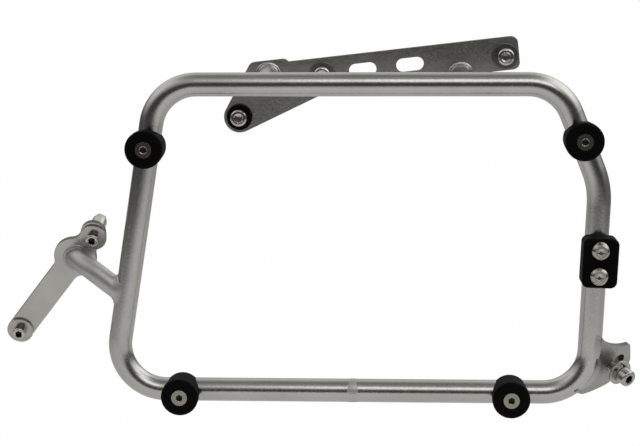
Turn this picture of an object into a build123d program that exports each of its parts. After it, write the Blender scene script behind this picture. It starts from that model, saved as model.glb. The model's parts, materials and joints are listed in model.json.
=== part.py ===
# Left-hand pannier frame of a motorcycle: a bent tube hoop carried by three welded brackets.
# Millimetres, +X to the rear, -Y outboard, +Z up. The origin lies on the axis of the upper bracket's
# front bolt, at the bracket's inboard face.

import os
from math import atan2, cos, degrees, radians, sin, sqrt, tan

from build123d import *

os.makedirs("parts", exist_ok=True)

# Tube of the hoop, the stubs and the arm
tube_diameter = 18.0
tube_wall = 1.5
stub_diameter = 16.0
arm_diameter = 16.0
weld_leg = 2.0
weld_land = 0.5
seat_clearance = 0.1

# Hoop, measured between tube axes, with its top front corner set from the front bracket bolt
hoop_top_rise = 30.5
hoop_corner_advance = 56.5
hoop_top_length = 300.0
hoop_height = 237.0
hoop_front_lean = 40.0
hoop_kink_setback = 31.5
hoop_kink_drop = 76.5
hoop_rear_lean = 5.0
hoop_bend_radius = 35.0
hoop_kink_radius = 63.0
butt_weld_from_corner = 186.5
butt_weld_width = 5.0
butt_weld_height = 0.45

# Pucks: flanged discs with a saddle, on countersunk screws
puck_flange_diameter = 28.6
puck_flange_thickness = 8.0
puck_body_diameter = 27.2
puck_face_height = 24.0
puck_edge_radius = 2.5
puck_front_upper_at = 47.0
puck_rear_upper_at = 43.5
puck_front_lower_at = 54.5
puck_rear_lower_at = 59.5
puck_screw_diameter = 6.0
puck_screw_head = 12.0
puck_screw_length = 30.0
puck_socket_width = 4.0
puck_socket_depth = 2.6
puck_boss_diameter = 10.0

# Lock block on the rear upright, with two button-head screws
lock_width = 26.2
lock_height = 37.5
lock_face_height = 24.0
lock_seat_height = 8.0
lock_corner_radius = 5.0
lock_edge_chamfer = 1.2
lock_from_kink = 54.1
lock_offset = 0.6
lock_screw_pitch = 18.8
lock_screw_length = 22.0
lock_boss_diameter = 12.0
button_head_diameter = 14.0
button_head_height = 4.4
button_crown_diameter = 7.5
button_dome_rise = 0.8
button_socket_width = 5.0
button_socket_depth = 2.8

# M8 cap screws, washers and nuts
bolt_diameter = 8.0
bolt_thread_diameter = 7.2
bolt_hole_diameter = 8.6
bolt_head_diameter = 13.0
bolt_head_height = 8.0
bolt_head_chamfer = 1.0
bolt_socket_width = 6.0
bolt_socket_depth = 4.2
washer_diameter = 20.0
washer_thickness = 2.0
footrest_washer_diameter = 21.0
lock_washer_diameter = 14.0
lock_washer_thickness = 2.2
nut_width = 13.0
nut_height = 6.5
nut_chamfer = 0.8
nut_turn = 30.0
boss_bore_clearance = 0.05

# M6 cap screws and nuts of the footrest plate
small_bolt_diameter = 6.0
small_thread_diameter = 5.4
small_hole_diameter = 6.6
small_head_diameter = 10.0
small_head_height = 6.0
small_head_chamfer = 0.7
small_socket_width = 5.0
small_socket_depth = 3.2
small_nut_width = 10.0
small_nut_height = 5.0

# Upper bracket plate; its points are set from the front bolt
bracket_thickness = 4.0
bracket_reach = 52.0
bracket_lobe_radius = 12.3
bracket_slope = 6.4
bracket_band_width = 25.8
bracket_tab_front_x = 9.4
bracket_tab_rear_x = 36.0
bracket_tab_rise = 2.6
bracket_band_rise = 39.0
bracket_band_end_x = 216.0
bracket_corner_radius = 5.5
bracket_inner_x = 69.5
bracket_inner_radius = 12.0
bracket_slot_length = 21.5
bracket_slot_width = 10.5
bracket_slot_front_x = 95.3
bracket_slot_pitch = 36.7
bracket_mid_bolt_x = 63.8
bracket_rear_bolt_x = 205.2
bracket_rear_bolt_drop = 1.9
bracket_bolt_length = 30.0
bracket_bolt_tip = 1.0
stub_front_x = 22.9
stub_rear_x = 173.0
stub_rise = 2.6

# Footrest plate and arm; the arm's landing is set from its joint on the front upright, the rest from it
arm_joint_from_corner = 165.4
arm_landing_advance = 44.4
arm_landing_inset = 30.0
arm_landing_rise = 23.4
arm_elbow_advance = 38.4
arm_elbow_inset = 8.0
arm_elbow_rise = 27.0
arm_bend_radius = 27.0
footrest_tilt = 15.0
footrest_thickness = 4.0
footrest_boss_radius = 16.8
footrest_boss_x = -1.3
footrest_boss_y = 0.6
footrest_lobe_radius = 9.8
footrest_end_radius = 10.1
footrest_lower_x = -51.7
footrest_lower_y = -65.3
footrest_upper_x = 14.8
footrest_upper_y = 18.7
footrest_lobe_stretch = 3.2
footrest_blend_radius = 8.0
footrest_spacer_diameter = 12.0
footrest_spacer_length = 22.5
footrest_bolt_length = 35.0
footrest_bolt_tip = 1.0

# Gusset for the rear brace, slanted inboard on the rear lower bend
gusset_thickness = 4.0
gusset_bearing = 28.0
gusset_slant = 38.0
gusset_ear_x = 17.2
gusset_ear_y = 32.7
gusset_nose_x = 29.2
gusset_nose_y = 19.0
gusset_heel_x = 19.5
gusset_heel_y = -1.5
gusset_toe_x = -2.6
gusset_toe_y = -17.4
gusset_belly_rise = 1.1
gusset_neck_x = -15.6
gusset_neck_y = 29.8
gusset_scoop_x = -3.0
gusset_scoop_y = 27.3
gusset_root_rise = 12.0
gusset_ear_radius = 2.0
gusset_nose_radius = 7.0
gusset_heel_radius = 12.0
brace_bolt_x = 11.1
brace_bolt_y = 11.3
brace_slot_travel = 8.5
brace_slot_bearing = 58.0
brace_bolt_gap = 8.5
brace_bolt_length = 30.0
nut_plate_width = 14.0
nut_plate_thickness = 2.0

tube_radius = tube_diameter / 2
bolt_radius = bolt_diameter / 2
outboard = Vector(0, -1, 0)
m8_screw = {
    "shank": bolt_diameter,
    "thread": bolt_thread_diameter,
    "head": bolt_head_diameter,
    "head_height": bolt_head_height,
    "head_chamfer": bolt_head_chamfer,
    "socket": bolt_socket_width,
    "socket_depth": bolt_socket_depth,
}
m6_screw = {
    "shank": small_bolt_diameter,
    "thread": small_thread_diameter,
    "head": small_head_diameter,
    "head_height": small_head_height,
    "head_chamfer": small_head_chamfer,
    "socket": small_socket_width,
    "socket_depth": small_socket_depth,
}
hoop_y = -(bracket_thickness + bracket_reach)

# Hoop corners in the hoop's own plane: across, up, then outboard
hoop_plane = Plane(origin=(0, hoop_y, 0), x_dir=(1, 0, 0), z_dir=outboard)
hoop_bottom_z = hoop_top_rise - hoop_height
top_front = Vector(-hoop_corner_advance, hoop_top_rise)
top_rear = top_front + Vector(hoop_top_length, 0)
kink = top_rear + Vector(hoop_kink_setback, -hoop_kink_drop)
bottom_rear = Vector(kink.X - hoop_rear_lean, hoop_bottom_z)
bottom_front = Vector(top_front.X - hoop_front_lean, hoop_bottom_z)


# Plane on a straight run of the hoop: X along the run, Z outboard from the tube's axis
def seat_on_run(start, end, distance):
    run = (end - start).normalized()
    point = hoop_plane.from_local_coords(start + run * distance)
    return Plane(origin=point, x_dir=(run.X, 0, run.Y), z_dir=outboard)


# Plane through a seat's axis: X is the radius, Y the height above the seat
def section_of(seat):
    return Plane(origin=seat.origin, x_dir=seat.x_dir, z_dir=-seat.y_dir)


# Plane square to a seat's X direction
def end_of(seat):
    return Plane(origin=seat.origin, x_dir=seat.y_dir, z_dir=seat.x_dir)


def axis_of(seat):
    return Axis(seat.origin, seat.z_dir)


# Solid round bar along a path
def bar_along(path, radius):
    with BuildPart() as bar:
        with BuildSketch(Plane(origin=path @ 0, z_dir=path % 0)) as section:
            Circle(radius)
        sweep(section.sketch, path=path)
    return bar.part


# Turned ring on a seat, from its face upwards
def ring_on(seat, outer_radius, bore_radius, height):
    with BuildPart() as ring:
        with BuildSketch(seat):
            Circle(outer_radius)
            Circle(bore_radius, mode=Mode.SUBTRACT)
        extrude(amount=height)
    return ring.part


# Cap screw: the seat is the underside of its head, the grip the plain part of its shank
def cap_screw(size, seat, length, grip, tip):
    head_radius = size["head"] / 2
    head_height = size["head_height"]
    chamfer_leg = size["head_chamfer"]
    shank_radius = size["shank"] / 2
    thread_radius = size["thread"] / 2
    with BuildPart() as screw:
        with BuildSketch(section_of(seat)):
            with BuildLine():
                Polyline(
                    (0, head_height),
                    (head_radius - chamfer_leg, head_height),
                    (head_radius, head_height - chamfer_leg),
                    (head_radius, 0),
                    (shank_radius, 0),
                    (shank_radius, -grip),
                    (thread_radius, -grip),
                    (thread_radius, tip - length),
                    (thread_radius - tip, -length),
                    (0, -length),
                    close=True,
                )
            make_face()
        revolve(axis=axis_of(seat))
        with BuildSketch(seat.offset(head_height)):
            RegularPolygon(size["socket"] / 2, 6, major_radius=False)
        extrude(amount=-size["socket_depth"], mode=Mode.SUBTRACT)
    return screw.part


# Hex nut: the seat is its bearing face; its outer corners are turned off
def hex_nut(seat, thread_diameter, width, height):
    bore_radius = thread_diameter / 2 + boss_bore_clearance
    corner_radius = width / sqrt(3)
    with BuildPart() as nut:
        with BuildSketch(section_of(seat)):
            with BuildLine():
                Polyline(
                    (bore_radius, 0),
                    (corner_radius, 0),
                    (corner_radius, height - nut_chamfer),
                    (width / 2 - nut_chamfer, height),
                    (bore_radius, height),
                    close=True,
                )
            make_face()
        revolve(axis=axis_of(seat))
        with BuildSketch(seat):
            RegularPolygon(width / 2, 6, major_radius=False, rotation=nut_turn)
        extrude(amount=height, mode=Mode.INTERSECT)
    return nut.part


# Threaded boss in the tube's outboard wall, flush with the tube's skin and short of its far wall
def tube_boss(seat, boss_diameter, screw_diameter):
    bore_radius = screw_diameter / 2 + boss_bore_clearance
    free_radius = tube_radius - tube_wall - seat_clearance
    depth = sqrt(free_radius**2 - (boss_diameter / 2) ** 2)
    with BuildPart() as boss:
        with BuildSketch(seat.offset(-depth)):
            Circle(boss_diameter / 2)
            Circle(bore_radius, mode=Mode.SUBTRACT)
        extrude(amount=depth + tube_radius)
        with BuildSketch(end_of(seat)):
            Circle(tube_radius)
        extrude(amount=boss_diameter, both=True, mode=Mode.INTERSECT)
    return boss.part


# Hoop path, and the solid bars that the tube and everything coped to it are cut with
with BuildLine(hoop_plane) as hoop_line:
    FilletPolyline(
        *[(corner.X, corner.Y) for corner in (top_front, top_rear, kink, bottom_rear, bottom_front)],
        radius=[hoop_bend_radius, hoop_bend_radius, hoop_kink_radius, hoop_bend_radius, hoop_bend_radius],
        close=True,
    )
hoop_path = hoop_line.wire()
hoop_bar = bar_along(hoop_path, tube_radius)
hoop_bore = bar_along(hoop_path, tube_radius - tube_wall)
hoop_weld_zone = bar_along(hoop_path, tube_radius + weld_leg)


# Tube along a path, coped to the hoop at one end and squared to a plate's face at the other
def coped_tube(path, radius, face):
    bar = bar_along(path, radius)
    bore = bar_along(path, radius - tube_wall)
    with BuildPart() as tube:
        add(bar)
        add(bore, mode=Mode.SUBTRACT)
        add(hoop_bar, mode=Mode.SUBTRACT)
        split(bisect_by=face, keep=Keep.TOP)
    return tube.part


# Weld bead round a bar where it meets the hoop
def hoop_bead(path, radius):
    collar = bar_along(path, radius + weld_leg)
    bar = bar_along(path, radius)
    with BuildPart() as bead:
        add(collar)
        add(hoop_weld_zone, mode=Mode.INTERSECT)
        add(hoop_bar, mode=Mode.SUBTRACT)
        add(bar, mode=Mode.SUBTRACT)
    return bead.part


# Weld bead round a bar where it meets a plate's face: a fillet, wider where the bar leans
def face_bead(path, radius, face):
    bar = bar_along(path, radius)
    run = path % 1
    square = run.dot(face.z_dir)
    foot = path @ 1 + run * ((face.origin - path @ 1).dot(face.z_dir) / square)
    lean_bearing = degrees(atan2(run.dot(face.y_dir), run.dot(face.x_dir)))
    with BuildPart() as bead:
        for height, margin in ((0, weld_leg), (weld_leg, weld_land)):
            centre = foot + run * (height / square)
            with BuildSketch(Plane(origin=centre, x_dir=face.x_dir, z_dir=face.z_dir)):
                Ellipse(radius / abs(square) + margin, radius + margin, rotation=lean_bearing)
        loft(ruled=True)
        add(bar, mode=Mode.SUBTRACT)
    return bead.part


# Plane at a point of a face, raised from it
def seat_at(face, point, height):
    origin = face.from_local_coords(Vector(point.X, point.Y, height))
    return Plane(origin=origin, x_dir=face.x_dir, z_dir=face.z_dir)


# The same plane seen from behind
def back_of(seat):
    return Plane(origin=seat.origin, x_dir=seat.x_dir, z_dir=-seat.z_dir)


puck_seats = {
    "puck_front_upper": seat_on_run(top_front, bottom_front, puck_front_upper_at),
    "puck_rear_upper": seat_on_run(top_rear, kink, puck_rear_upper_at),
    "puck_front_lower": seat_on_run(bottom_front, bottom_rear, puck_front_lower_at),
    "puck_rear_lower": seat_on_run(bottom_rear, bottom_front, puck_rear_lower_at),
}
lock_seat = seat_on_run(kink, bottom_rear, lock_from_kink)
lock_screw_seats = [
    seat_on_run(kink, bottom_rear, lock_from_kink + side * lock_screw_pitch / 2) for side in (-1, 1)
]

with BuildPart() as hoop_tube:
    add(hoop_bar)
    add(hoop_bore, mode=Mode.SUBTRACT)
    for seat in puck_seats.values():
        with BuildSketch(seat):
            Circle(puck_boss_diameter / 2)
        extrude(amount=tube_diameter, mode=Mode.SUBTRACT)
    for seat in lock_screw_seats:
        with BuildSketch(seat):
            Circle(lock_boss_diameter / 2)
        extrude(amount=tube_diameter, mode=Mode.SUBTRACT)
hoop_tube.part.label = "hoop_tube"
export_step(hoop_tube.part, "parts/hoop_tube.step")

# Butt weld where the tube's ends meet: a low crowned ring in the bottom run
butt_seat = seat_on_run(bottom_front, bottom_rear, butt_weld_from_corner)
butt_plane = Plane(origin=butt_seat.origin, x_dir=butt_seat.x_dir, z_dir=-butt_seat.y_dir)
with BuildPart() as hoop_butt_weld:
    with BuildSketch(butt_plane):
        with BuildLine():
            crown = ThreePointArc(
                (-butt_weld_width / 2, tube_radius),
                (0, tube_radius + butt_weld_height),
                (butt_weld_width / 2, tube_radius),
            )
            Line(crown @ 0, crown @ 1)
        make_face()
    revolve(axis=Axis(butt_seat.origin, butt_seat.x_dir))
hoop_butt_weld.part.label = "hoop_butt_weld"
export_step(hoop_butt_weld.part, "parts/hoop_butt_weld.step")

# Pucks: turned body with flange and countersink, saddled over the tube
puck_bore_radius = puck_screw_diameter / 2 + 2 * seat_clearance
puck_sink_radius = puck_screw_head / 2 + 2 * seat_clearance
puck_flange_foot = puck_face_height - puck_flange_thickness
for name, seat in puck_seats.items():
    with BuildPart() as puck:
        with BuildSketch(section_of(seat)):
            with BuildLine():
                Polyline(
                    (puck_bore_radius, 0),
                    (puck_body_diameter / 2, 0),
                    (puck_body_diameter / 2, puck_flange_foot),
                    (puck_flange_diameter / 2, puck_flange_foot),
                    (puck_flange_diameter / 2, puck_face_height),
                    (puck_sink_radius, puck_face_height),
                    (puck_bore_radius, puck_face_height - puck_sink_radius + puck_bore_radius),
                    close=True,
                )
            make_face()
        revolve(axis=axis_of(seat))
        rims = puck.edges().filter_by(GeomType.CIRCLE).sort_by(SortBy.RADIUS)
        fillet(rims[-2:].sort_by(axis_of(seat))[-1], puck_edge_radius)
        with BuildSketch(end_of(seat)):
            Circle(tube_radius + seat_clearance)
        extrude(amount=puck_flange_diameter, both=True, mode=Mode.SUBTRACT)
    puck.part.label = name
    export_step(puck.part, f"parts/{name}.step")


# Countersunk screw with its head flush in the puck's face
def countersunk_screw(seat):
    face = seat.offset(puck_face_height)
    head_radius = puck_screw_head / 2
    shank_radius = puck_screw_diameter / 2
    with BuildPart() as screw:
        with BuildSketch(section_of(face)):
            with BuildLine():
                Polyline(
                    (0, 0),
                    (head_radius, 0),
                    (shank_radius, shank_radius - head_radius),
                    (shank_radius, -puck_screw_length),
                    (0, -puck_screw_length),
                    close=True,
                )
            make_face()
        revolve(axis=axis_of(face))
        with BuildSketch(face):
            RegularPolygon(puck_socket_width / 2, 6, major_radius=False)
        extrude(amount=-puck_socket_depth, mode=Mode.SUBTRACT)
    return screw.part


puck_screw_parts = [countersunk_screw(seat) for seat in puck_seats.values()]
with BuildPart() as puck_screws:
    add(puck_screw_parts)
puck_screws.part.label = "puck_screws"
export_step(puck_screws.part, "parts/puck_screws.step")

puck_boss_parts = [tube_boss(seat, puck_boss_diameter, puck_screw_diameter) for seat in puck_seats.values()]
with BuildPart() as puck_bosses:
    add(puck_boss_parts)
puck_bosses.part.label = "puck_bosses"
export_step(puck_bosses.part, "parts/puck_bosses.step")

# Lock block: rounded block, saddled over the rear upright
with BuildPart() as lock_block:
    with BuildSketch(lock_seat.offset(lock_seat_height)):
        with Locations((0, lock_offset)):
            RectangleRounded(lock_height, lock_width, lock_corner_radius)
    extrude(amount=lock_face_height - lock_seat_height)
    face_edges = lock_block.faces().sort_by(axis_of(lock_seat))[-1].edges()
    chamfer(face_edges, lock_edge_chamfer)
    with BuildSketch(end_of(lock_seat)):
        Circle(tube_radius + seat_clearance)
    extrude(amount=lock_height, both=True, mode=Mode.SUBTRACT)
    for seat in lock_screw_seats:
        with BuildSketch(seat):
            Circle(bolt_hole_diameter / 2)
        extrude(amount=lock_face_height, mode=Mode.SUBTRACT)
lock_block.part.label = "lock_block"
export_step(lock_block.part, "parts/lock_block.step")


# Button-head screw: domed head on the block's face
def button_screw(seat):
    face = seat.offset(lock_face_height)
    head_radius = button_head_diameter / 2
    with BuildPart() as screw:
        with BuildSketch(section_of(face)):
            with BuildLine():
                dome = SagittaArc(
                    (head_radius, 0), (button_crown_diameter / 2, button_head_height), -button_dome_rise
                )
                Polyline(
                    dome @ 1,
                    (0, button_head_height),
                    (0, -lock_screw_length),
                    (bolt_radius, -lock_screw_length),
                    (bolt_radius, 0),
                    dome @ 0,
                )
            make_face()
        revolve(axis=axis_of(face))
        with BuildSketch(face.offset(button_head_height)):
            RegularPolygon(button_socket_width / 2, 6, major_radius=False)
        extrude(amount=-button_socket_depth, mode=Mode.SUBTRACT)
    return screw.part


lock_screw_parts = [button_screw(seat) for seat in lock_screw_seats]
with BuildPart() as lock_screws:
    add(lock_screw_parts)
lock_screws.part.label = "lock_screws"
export_step(lock_screws.part, "parts/lock_screws.step")

lock_boss_parts = [tube_boss(seat, lock_boss_diameter, bolt_diameter) for seat in lock_screw_seats]
with BuildPart() as lock_bosses:
    add(lock_boss_parts)
lock_bosses.part.label = "lock_bosses"
export_step(lock_bosses.part, "parts/lock_bosses.step")

# Upper bracket plate: a sloping band with slots, widened at its front to a tab and a bolt lobe
bracket_face = Plane(origin=(0, 0, 0), x_dir=(1, 0, 0), z_dir=outboard)
slope_rise = tan(radians(bracket_slope))
band_square = Vector(sin(radians(bracket_slope)), -cos(radians(bracket_slope)))


# Points of the band: on its top edge, and at a distance square to it
def band_point(x, depth=0):
    return Vector(x, bracket_band_rise + x * slope_rise) + band_square * depth


tab_front = band_point(bracket_tab_front_x, -bracket_tab_rise)
tab_rear = band_point(bracket_tab_rear_x, -bracket_tab_rise)
band_front_top = band_point(stub_front_x)
band_front_bottom = band_point(stub_front_x, bracket_band_width)
band_end_top = band_point(bracket_band_end_x)
band_end_bottom = band_point(bracket_band_end_x, bracket_band_width)
inner_corner = band_point(bracket_inner_x, bracket_band_width)
band_middle = bracket_band_width / 2
bracket_bolt_points = [
    Vector(0, 0),
    band_point(bracket_mid_bolt_x, band_middle),
    band_point(bracket_rear_bolt_x, band_middle + bracket_rear_bolt_drop),
]

with BuildPart() as bracket_plate:
    with BuildSketch(bracket_face) as bracket_outline:
        Circle(bracket_lobe_radius)
        with BuildLine():
            Polyline(tab_front, tab_rear, inner_corner)
        make_hull()
        with BuildLine():
            Polyline(band_front_top, band_end_top, band_end_bottom, band_front_bottom, close=True)
        make_face()
        for corner in (tab_front, tab_rear, band_end_top, band_end_bottom):
            fillet(bracket_outline.vertices().sort_by_distance(corner)[0], bracket_corner_radius)
        fillet(bracket_outline.vertices().sort_by_distance(inner_corner)[0], bracket_inner_radius)
        with Locations(*[
            band_point(bracket_slot_front_x + step * bracket_slot_pitch, band_middle) for step in (0, 1)
        ]):
            SlotOverall(bracket_slot_length, bracket_slot_width, rotation=bracket_slope, mode=Mode.SUBTRACT)
        with Locations(*bracket_bolt_points):
            Circle(bolt_hole_diameter / 2, mode=Mode.SUBTRACT)
    extrude(amount=bracket_thickness)
bracket_plate.part.label = "bracket_plate"
export_step(bracket_plate.part, "parts/bracket_plate.step")

# Stub tubes from the hoop's top run to the bracket plate
bracket_outer = bracket_face.offset(bracket_thickness)
stub_radius = stub_diameter / 2


def stub_path(x):
    with BuildLine() as line:
        Line((x, hoop_y, hoop_top_rise), (x, 0, hoop_top_rise + stub_rise))
    return line.wire()


stub_paths = {"stub_front": stub_path(stub_front_x), "stub_rear": stub_path(stub_rear_x)}
for name, path in stub_paths.items():
    stub_part = coped_tube(path, stub_radius, bracket_outer)
    with BuildPart() as stub:
        add(stub_part)
    stub.part.label = name
    export_step(stub.part, f"parts/{name}.step")

stub_bead_parts = [hoop_bead(path, stub_radius) for path in stub_paths.values()]
stub_bead_parts += [face_bead(path, stub_radius, bracket_outer) for path in stub_paths.values()]
with BuildPart() as stub_welds:
    add(stub_bead_parts)
stub_welds.part.label = "stub_welds"
export_step(stub_welds.part, "parts/stub_welds.step")

# Bracket bolts: a rubber damper under the front one, steel washers under the others
washer_radius = washer_diameter / 2
bolt_hole_radius = bolt_hole_diameter / 2
bracket_seats = [seat_at(bracket_outer, point, 0) for point in bracket_bolt_points]
bracket_grip = washer_thickness + bracket_thickness
bracket_bolt_parts = [
    cap_screw(m8_screw, seat.offset(washer_thickness), bracket_bolt_length, bracket_grip, bracket_bolt_tip)
    for seat in bracket_seats
]
with BuildPart() as bracket_bolts:
    add(bracket_bolt_parts)
bracket_bolts.part.label = "bracket_bolts"
export_step(bracket_bolts.part, "parts/bracket_bolts.step")

damper_part = ring_on(bracket_seats[0], washer_radius, bolt_hole_radius, washer_thickness)
with BuildPart() as bracket_damper:
    add(damper_part)
bracket_damper.part.label = "bracket_damper"
export_step(bracket_damper.part, "parts/bracket_damper.step")

bracket_washer_parts = [
    ring_on(seat, washer_radius, bolt_hole_radius, washer_thickness) for seat in bracket_seats[1:]
]
with BuildPart() as bracket_washers:
    add(bracket_washer_parts)
bracket_washers.part.label = "bracket_washers"
export_step(bracket_washers.part, "parts/bracket_washers.step")

# Footrest plate: a strap with a bolt lobe at each end and a round boss under the arm
arm_joint = seat_on_run(top_front, bottom_front, arm_joint_from_corner).origin
arm_elbow = arm_joint + Vector(-arm_elbow_advance, arm_elbow_inset, arm_elbow_rise)
arm_landing = arm_joint + Vector(-arm_landing_advance, arm_landing_inset, arm_landing_rise)
footrest_out = Vector(0, -cos(radians(footrest_tilt)), -sin(radians(footrest_tilt)))
footrest_face = Plane(origin=arm_landing, x_dir=(1, 0, 0), z_dir=footrest_out)
footrest_boss = Vector(footrest_boss_x, footrest_boss_y)
footrest_lower = Vector(footrest_lower_x, footrest_lower_y)
footrest_upper = Vector(footrest_upper_x, footrest_upper_y)
strap_middle = (footrest_boss + footrest_lower) / 2
lobe_middle = footrest_upper + Vector(0, footrest_lobe_stretch / 2)
footrest_points = [footrest_lower, footrest_upper]
footrest_hole_radius = small_hole_diameter / 2


def on_boss_rim(edge):
    place = footrest_face.to_local_coords(edge.center())
    distance = (Vector(place.X, place.Y) - footrest_boss).length
    return abs(distance - footrest_boss_radius) < seat_clearance


with BuildPart() as footrest_plate:
    with BuildSketch(footrest_face):
        SlotCenterPoint(strap_middle, footrest_lower, 2 * footrest_end_radius)
        SlotCenterPoint(lobe_middle, footrest_upper, 2 * footrest_lobe_radius)
        with Locations(footrest_boss):
            Circle(footrest_boss_radius)
        with Locations(*footrest_points):
            Circle(footrest_hole_radius, mode=Mode.SUBTRACT)
    extrude(amount=-footrest_thickness)
    boss_corners = footrest_plate.edges().filter_by(axis_of(footrest_face)).filter_by(on_boss_rim)
    fillet(boss_corners, footrest_blend_radius)
footrest_plate.part.label = "footrest_plate"
export_step(footrest_plate.part, "parts/footrest_plate.step")

# Arm: bent tube from the front upright to the boss
arm_radius = arm_diameter / 2
arm_start = arm_landing + (arm_landing - arm_elbow).normalized() * arm_diameter
with BuildLine() as arm_line:
    FilletPolyline(arm_joint, arm_elbow, arm_start, radius=arm_bend_radius)
arm_path = arm_line.wire()
arm_part = coped_tube(arm_path, arm_radius, footrest_face)
with BuildPart() as footrest_arm:
    add(arm_part)
footrest_arm.part.label = "footrest_arm"
export_step(footrest_arm.part, "parts/footrest_arm.step")

arm_bead_parts = [hoop_bead(arm_path, arm_radius), face_bead(arm_path, arm_radius, footrest_face)]
with BuildPart() as arm_welds:
    add(arm_bead_parts)
arm_welds.part.label = "arm_welds"
export_step(arm_welds.part, "parts/arm_welds.step")

# Footrest bolts: washer outside, plate, spacer and nut inside
footrest_grip = washer_thickness + footrest_thickness + footrest_spacer_length
footrest_seats = [seat_at(footrest_face, point, 0) for point in footrest_points]
footrest_backs = [back_of(seat.offset(-footrest_thickness)) for seat in footrest_seats]
footrest_bolt_parts = [
    cap_screw(
        m6_screw, seat.offset(washer_thickness), footrest_bolt_length, footrest_grip, footrest_bolt_tip
    )
    for seat in footrest_seats
]
with BuildPart() as footrest_bolts:
    add(footrest_bolt_parts)
footrest_bolts.part.label = "footrest_bolts"
export_step(footrest_bolts.part, "parts/footrest_bolts.step")

footrest_washer_parts = [
    ring_on(seat, footrest_washer_diameter / 2, footrest_hole_radius, washer_thickness)
    for seat in footrest_seats
]
with BuildPart() as footrest_washers:
    add(footrest_washer_parts)
footrest_washers.part.label = "footrest_washers"
export_step(footrest_washers.part, "parts/footrest_washers.step")

footrest_spacer_parts = [
    ring_on(back, footrest_spacer_diameter / 2, footrest_hole_radius, footrest_spacer_length)
    for back in footrest_backs
]
with BuildPart() as footrest_spacers:
    add(footrest_spacer_parts)
footrest_spacers.part.label = "footrest_spacers"
export_step(footrest_spacers.part, "parts/footrest_spacers.step")

footrest_nut_parts = [
    hex_nut(back.offset(footrest_spacer_length), small_thread_diameter, small_nut_width, small_nut_height)
    for back in footrest_backs
]
with BuildPart() as footrest_nuts:
    add(footrest_nut_parts)
footrest_nuts.part.label = "footrest_nuts"
export_step(footrest_nuts.part, "parts/footrest_nuts.step")

# Gusset: slanted plate on the outside of the rear lower bend; its X leaves the bend, its Y runs along it
rear_up = (kink - bottom_rear).normalized()
bend_middle = (rear_up + (bottom_front - bottom_rear).normalized()).normalized()
half_turn = radians(bend_middle.get_angle(rear_up))
bend_centre = bottom_rear + bend_middle * (hoop_bend_radius / sin(half_turn))
bend_outer = hoop_bend_radius + tube_radius
slant = radians(gusset_slant)
gusset_away = Vector(cos(radians(gusset_bearing)), 0, -sin(radians(gusset_bearing)))
gusset_plane = Plane(
    origin=hoop_plane.from_local_coords(bend_centre) + gusset_away * bend_outer,
    x_dir=gusset_away * cos(slant) - outboard * sin(slant),
    z_dir=outboard * cos(slant) + gusset_away * sin(slant),
)


# Point of the gusset's root, halfway through the tube
def gusset_root(y):
    sag = bend_outer - sqrt(bend_outer**2 - y**2)
    return Vector(-sag / cos(slant) - tube_radius * cos(slant), y)


brace_point = Vector(brace_bolt_x, brace_bolt_y)
slot_middle = brace_point + Vector(brace_slot_travel / 2, 0).rotate(Axis.Z, brace_slot_bearing)
gusset_ear = Vector(gusset_ear_x, gusset_ear_y)
gusset_nose = Vector(gusset_nose_x, gusset_nose_y)
gusset_heel = Vector(gusset_heel_x, gusset_heel_y)
gusset_toe = Vector(gusset_toe_x, gusset_toe_y)
gusset_neck = Vector(gusset_neck_x, gusset_neck_y)
gusset_base = gusset_heel - gusset_toe
gusset_below = gusset_base.normalized().rotate(Axis.Z, -90)
gusset_belly = gusset_toe + gusset_base / 2 + gusset_below * gusset_belly_rise
with BuildSketch(gusset_plane) as gusset_outline:
    with BuildLine():
        ThreePointArc(gusset_neck, (gusset_scoop_x, gusset_scoop_y), gusset_ear)
        Polyline(gusset_ear, gusset_nose, gusset_heel)
        ThreePointArc(gusset_heel, gusset_belly, gusset_toe)
        Line(gusset_toe, gusset_root(gusset_toe_y))
        ThreePointArc(gusset_root(gusset_toe_y), gusset_root(0), gusset_root(gusset_root_rise))
        Line(gusset_root(gusset_root_rise), gusset_neck)
    make_face()
    fillet(gusset_outline.vertices().sort_by_distance(gusset_ear)[0], gusset_ear_radius)
    fillet(gusset_outline.vertices().sort_by_distance(gusset_nose)[0], gusset_nose_radius)
    fillet(gusset_outline.vertices().sort_by_distance(gusset_heel)[0], gusset_heel_radius)
    with Locations(slot_middle):
        SlotCenterToCenter(
            brace_slot_travel, bolt_hole_diameter, rotation=brace_slot_bearing, mode=Mode.SUBTRACT
        )

with BuildPart() as brace_gusset:
    extrude(gusset_outline.sketch, amount=gusset_thickness / 2, both=True)
    add(hoop_bar, mode=Mode.SUBTRACT)
brace_gusset.part.label = "brace_gusset"
export_step(brace_gusset.part, "parts/brace_gusset.step")

with BuildPart() as gusset_welds:
    extrude(gusset_outline.sketch, amount=gusset_thickness / 2 + weld_leg, both=True)
    add(hoop_weld_zone, mode=Mode.INTERSECT)
    add(hoop_bar, mode=Mode.SUBTRACT)
    add(brace_gusset.part, mode=Mode.SUBTRACT)
gusset_welds.part.label = "gusset_welds"
export_step(gusset_welds.part, "parts/gusset_welds.step")

# Brace bolt: its head, lock washer and washer stand off the gusset, where the rear brace's eye goes
brace_seat = seat_at(gusset_plane, brace_point, gusset_thickness / 2 + brace_bolt_gap)
lock_washer_seat = brace_seat.offset(washer_thickness)
brace_grip = washer_thickness + lock_washer_thickness
brace_head_seat = lock_washer_seat.offset(lock_washer_thickness)
brace_bolt_part = cap_screw(m8_screw, brace_head_seat, brace_bolt_length, brace_grip, bracket_bolt_tip)
with BuildPart() as brace_bolt:
    add(brace_bolt_part)
brace_bolt.part.label = "brace_bolt"
export_step(brace_bolt.part, "parts/brace_bolt.step")

brace_washer_part = ring_on(brace_seat, washer_radius, bolt_hole_radius, washer_thickness)
with BuildPart() as brace_washer:
    add(brace_washer_part)
brace_washer.part.label = "brace_washer"
export_step(brace_washer.part, "parts/brace_washer.step")

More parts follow.
